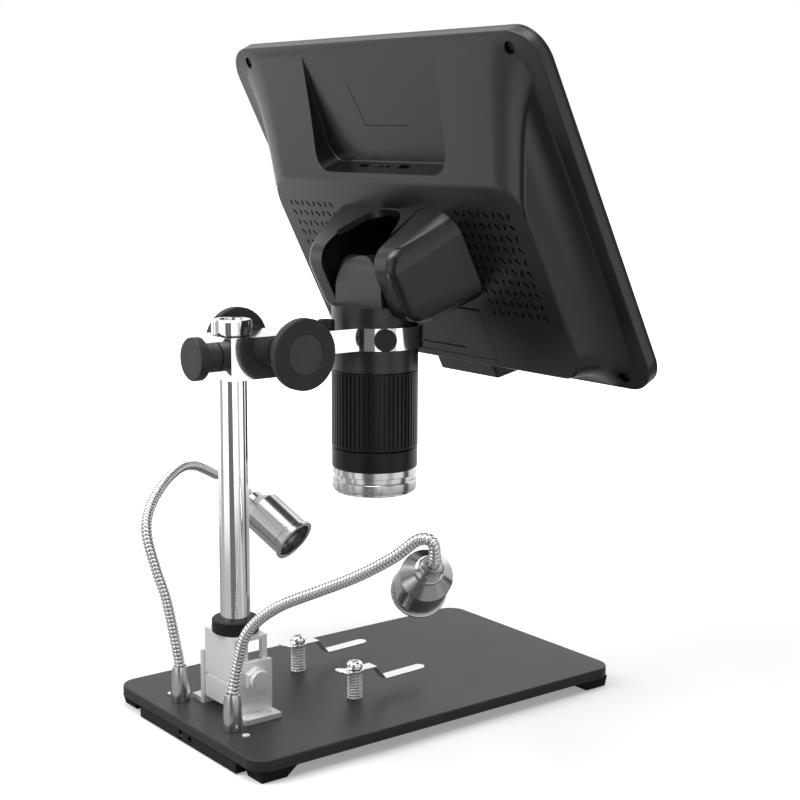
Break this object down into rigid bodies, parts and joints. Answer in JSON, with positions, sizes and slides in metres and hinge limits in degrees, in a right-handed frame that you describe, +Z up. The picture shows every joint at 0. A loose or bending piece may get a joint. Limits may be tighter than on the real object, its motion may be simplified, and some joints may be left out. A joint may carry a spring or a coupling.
{
  "type": "digital microscope with hinged screen",
  "caption": "Digital microscope with a tilting back-lit screen on a camera barrel, carried by a rack and pinion post stand with gooseneck lamps and a flat stage with clips",
  "frame": {"origin": "centre of the whole part's footprint, which is also the middle of the base plate, on the floor plane under the feet", "axes": "+Z up; +Y from the user's side to the rear edge where the post stands; +X to the right for a user who faces the screen from -Y"},
  "size_m": [0.2276, 0.2, 0.301],
  "materials": {
    "base_paint": "satin black powder coat",
    "foot_rubber": "soft matte",
    "black_moulding": "fine matte texture",
    "circuit_board": "solder mask",
    "polished_chrome": "mirror polished",
    "satin_steel": "satin",
    "polished_aluminium": "polished",
    "black_anodised": "satin black",
    "knob_black": "satin",
    "clear_glass": "clear",
    "lamp_glass": "lightly frosted",
    "screen_plastic": "fine grained matte",
    "bezel_plastic": "satin gloss",
    "display_glass": "dark gloss",
    "battery_wrap": "shrink wrap",
    "key_plastic": "satin",
    "led_face": "phosphor and white board"
  },
  "bodies": {
    "base": {"base_plate": "base_paint", "base_feet": "foot_rubber", "port_housing": "black_moulding", "lamp_driver_board": "circuit_board", "power_jack": "black_moulding", "gooseneck_sockets": "polished_chrome", "gooseneck_nuts": "satin_steel", "base_screws": "satin_steel", "angle_brackets": "satin_steel", "post_bracket": "satin_steel", "bracket_bolt": "satin_steel", "bracket_nut": "satin_steel", "post": "polished_chrome", "post_rack": "satin_steel", "post_collar": "black_moulding", "post_cap": "polished_chrome", "clip_screws": "polished_chrome", "clip_springs": "satin_steel"},
    "clip_left": {"stage_clip_left": "polished_chrome"},
    "clip_right": {"stage_clip_right": "polished_chrome"},
    "switch": {"lamp_switch": "key_plastic"},
    "carriage": {"carriage_block": "polished_aluminium", "barrel_holder": "polished_aluminium", "arm_screw": "black_anodised", "holder_set_screw": "black_anodised"},
    "pinion": {"pinion_shaft": "satin_steel", "lift_knob_left": "knob_black", "lift_knob_right": "knob_black"},
    "idler": {"idler_gear": "satin_steel"},
    "tension": {"tension_knob": "knob_black"},
    "barrel": {"barrel_neck": "black_anodised", "sensor_board": "circuit_board", "lens_tube": "black_anodised", "front_ring": "polished_chrome", "front_window": "clear_glass", "hinge_shaft": "satin_steel"},
    "focus": {"focus_ring": "black_anodised"},
    "lens": {"lens_cell": "black_anodised", "lens_elements": "clear_glass"},
    "screen": {"screen_back_shell": "screen_plastic", "screen_front_bezel": "bezel_plastic", "lcd_panel": "display_glass", "main_board": "circuit_board", "battery_pack": "battery_wrap", "hinge_housing": "screen_plastic", "shell_screws": "black_anodised", "port_sockets": "satin_steel", "key_board": "circuit_board"},
    "door": {"battery_door": "screen_plastic"},
    "key_left": {"key_power": "key_plastic"},
    "key_middle": {"key_menu": "key_plastic"},
    "key_right": {"key_ok": "key_plastic"},
    "neck_left": {"gooseneck_left": "polished_chrome"},
    "neck_right": {"gooseneck_right": "polished_chrome"},
    "lamp_left": {"lamp_shell_left": "polished_chrome", "lamp_lens_left": "lamp_glass", "lamp_led_left": "led_face"},
    "lamp_right": {"lamp_shell_right": "polished_chrome", "lamp_lens_right": "lamp_glass", "lamp_led_right": "led_face"}
  },
  "joints": [
    {"name": "lift", "type": "slide", "parent": "base", "child": "carriage", "axis": [0, 0, 1], "range_m": [-0.07, 0]},
    {"name": "lift_knobs", "type": "hinge", "parent": "carriage", "child": "pinion", "pos_m": [0, 0.054, 0.1677], "axis": [1, 0, 0], "range_deg": [-1029, 0]},
    {"name": "lift_idler", "type": "hinge", "parent": "carriage", "child": "idler", "pos_m": [0, 0.0624, 0.1677], "axis": [1, 0, 0], "range_deg": [0, 892]},
    {"name": "tension_screw", "type": "hinge", "parent": "carriage", "child": "tension", "pos_m": [0, 0.086, 0.1657], "axis": [0, 1, 0], "range_deg": [-90, 90]},
    {"name": "barrel_swivel", "type": "hinge", "parent": "carriage", "child": "barrel", "pos_m": [0, -0.0027, 0.169], "axis": [0, 0, 1], "range_deg": [-70, 70]},
    {"name": "focus_turn", "type": "hinge", "parent": "barrel", "child": "focus", "pos_m": [0, -0.0027, 0.136], "axis": [0, 0, 1], "range_deg": [-120, 120]},
    {"name": "lens_travel", "type": "slide", "parent": "barrel", "child": "lens", "axis": [0, 0, 1], "range_m": [-0.006, 0.006]},
    {"name": "screen_tilt", "type": "hinge", "parent": "barrel", "child": "screen", "pos_m": [0, -0.0027, 0.198], "axis": [-1, 0, 0], "range_deg": [-20, 63]},
    {"name": "battery_door_hinge", "type": "hinge", "parent": "screen", "child": "door", "pos_m": [0, -0.03494, 0.18121], "axis": [1, 0, 0], "range_deg": [0, 40]},
    {"name": "key_power_press", "type": "slide", "parent": "screen", "child": "key_left", "axis": [0, 0.891, -0.454], "range_m": [0, 0.0006], "stiffness_N_per_m": 1500},
    {"name": "key_menu_press", "type": "slide", "parent": "screen", "child": "key_middle", "axis": [0, 0.891, -0.454], "range_m": [0, 0.0006], "stiffness_N_per_m": 1500},
    {"name": "key_ok_press", "type": "slide", "parent": "screen", "child": "key_right", "axis": [0, 0.891, -0.454], "range_m": [0, 0.0006], "stiffness_N_per_m": 1500},
    {"name": "lamp_switch_slide", "type": "slide", "parent": "base", "child": "switch", "axis": [0, 0, 1], "range_m": [0, 0.0016]},
    {"name": "clip_left_turn", "type": "hinge", "parent": "base", "child": "clip_left", "pos_m": [-0.0226, 0.0248, 0.0234], "axis": [0, 0, 1], "range_deg": [-60, 25]},
    {"name": "clip_right_turn", "type": "hinge", "parent": "base", "child": "clip_right", "pos_m": [0.0226, 0.0248, 0.0234], "axis": [0, 0, -1], "range_deg": [-60, 25]},
    {"name": "gooseneck_left_turn", "type": "hinge", "parent": "base", "child": "neck_left", "pos_m": [-0.022, 0.088, 0.026], "axis": [0, 0, 1], "range_deg": [-60, 15]},
    {"name": "gooseneck_right_turn", "type": "hinge", "parent": "base", "child": "neck_right", "pos_m": [0.022, 0.088, 0.026], "axis": [0, 0, -1], "range_deg": [-60, 15]},
    {"name": "lamp_left_twist", "type": "hinge", "parent": "neck_left", "child": "lamp_left", "pos_m": [-0.0746, 0.0302, 0.073], "axis": [0.748, -0.415, -0.518], "range_deg": [-90, 90]},
    {"name": "lamp_right_twist", "type": "hinge", "parent": "neck_right", "child": "lamp_right", "pos_m": [0.0707, -0.0058, 0.058], "axis": [-0.7905, -0.2968, -0.5357], "range_deg": [-90, 90]}
  ],
  "couplings": [
    {"joint": "lift_knobs", "follows": "lift", "rad_per_m": 256.41},
    {"joint": "lift_idler", "follows": "lift", "rad_per_m": -222.22},
    {"joint": "lens_travel", "follows": "focus_turn", "m_per_rad": 0.0028648}
  ]
}
